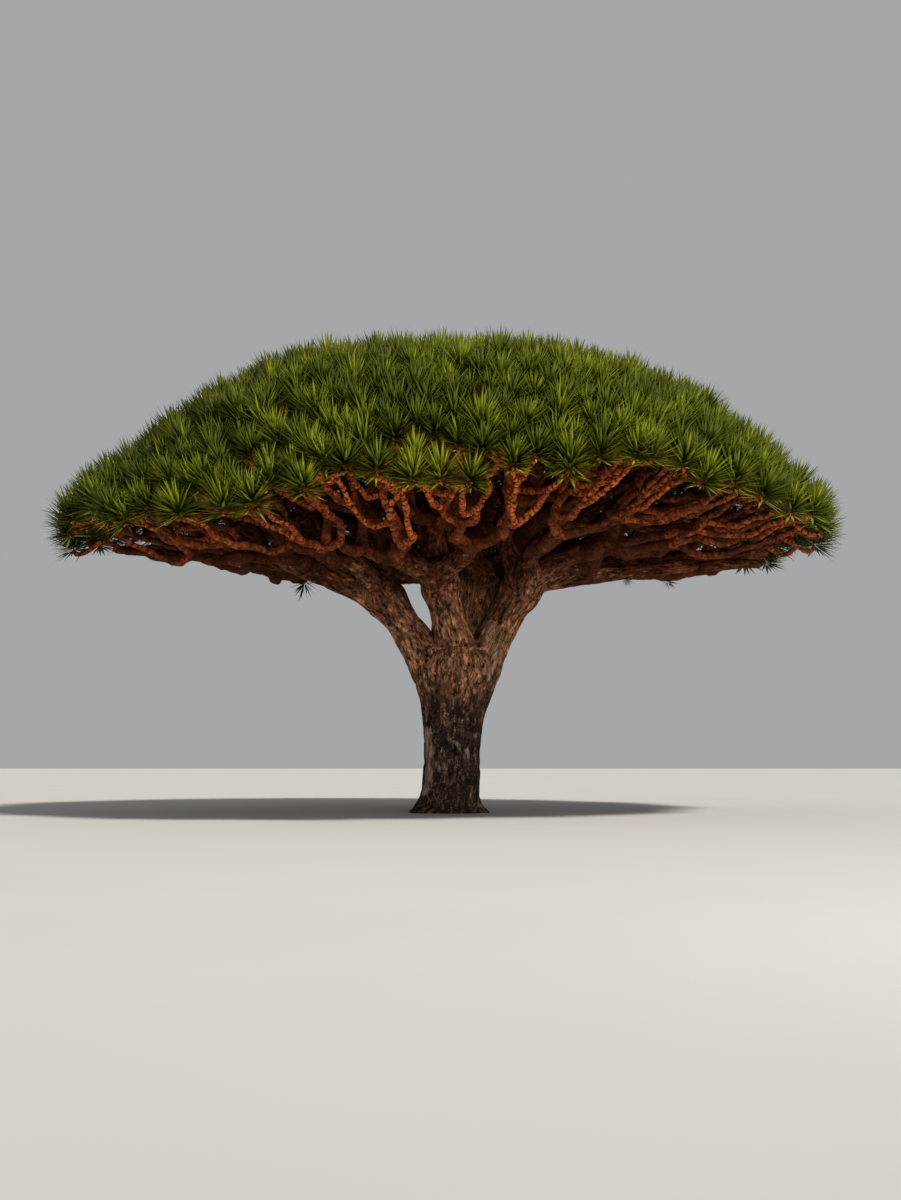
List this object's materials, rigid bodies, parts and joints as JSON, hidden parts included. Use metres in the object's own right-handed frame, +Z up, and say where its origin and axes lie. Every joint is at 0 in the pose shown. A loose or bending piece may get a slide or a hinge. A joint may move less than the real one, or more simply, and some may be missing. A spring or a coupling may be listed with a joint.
{
  "type": "dragon blood tree",
  "caption": "Umbrella-shaped evergreen tree with a stout trunk, forking limbs and a dense, domed crown of stiff sword-leaved tufts.",
  "frame": {"origin": "on the ground, in the middle of the trunk's line as seen from the near side", "axes": "+Z up the trunk, -Y towards the side that the picture shows, +X to its right"},
  "size_m": [12.5388, 12.5513, 7.5431],
  "materials": {
    "bark_trunk": "rough grey-brown bark with fissures, dark knots and pale flecks of lichen",
    "bark_limb": "matt orange-brown bark, ringed and wrinkled",
    "leaf": "leathery deep green leaves with a soft sheen, yellower low in each tuft"
  },
  "bodies": {
    "root": {"bough_rim_01": "bark_limb", "bough_rim_02": "bark_limb", "bough_rim_03": "bark_limb", "bough_rim_04": "bark_limb", "bough_rim_05": "bark_limb", "bough_rim_06": "bark_limb", "bough_rim_07": "bark_limb", "bough_rim_08": "bark_limb", "bough_rim_09": "bark_limb", "bough_rim_10": "bark_limb", "bough_rim_11": "bark_limb", "bough_rim_12": "bark_limb", "bough_shoulder_01": "bark_limb", "bough_shoulder_02": "bark_limb", "bough_shoulder_03": "bark_limb", "bough_shoulder_04": "bark_limb", "bough_shoulder_05": "bark_limb", "bough_shoulder_06": "bark_limb", "bough_top": "bark_limb", "leaves_rim_01": "leaf", "leaves_rim_02": "leaf", "leaves_rim_03": "leaf", "leaves_rim_04": "leaf", "leaves_rim_05": "leaf", "leaves_rim_06": "leaf", "leaves_rim_07": "leaf", "leaves_rim_08": "leaf", "leaves_rim_09": "leaf", "leaves_rim_10": "leaf", "leaves_rim_11": "leaf", "leaves_rim_12": "leaf", "leaves_shoulder_01": "leaf", "leaves_shoulder_02": "leaf", "leaves_shoulder_03": "leaf", "leaves_shoulder_04": "leaf", "leaves_shoulder_05": "leaf", "leaves_shoulder_06": "leaf", "leaves_top": "leaf", "stem_far": "bark_limb", "stem_left": "bark_limb", "stem_middle": "bark_limb", "stem_near": "bark_limb", "stem_right": "bark_limb", "trunk": "bark_trunk"}
  },
  "joints": []
}
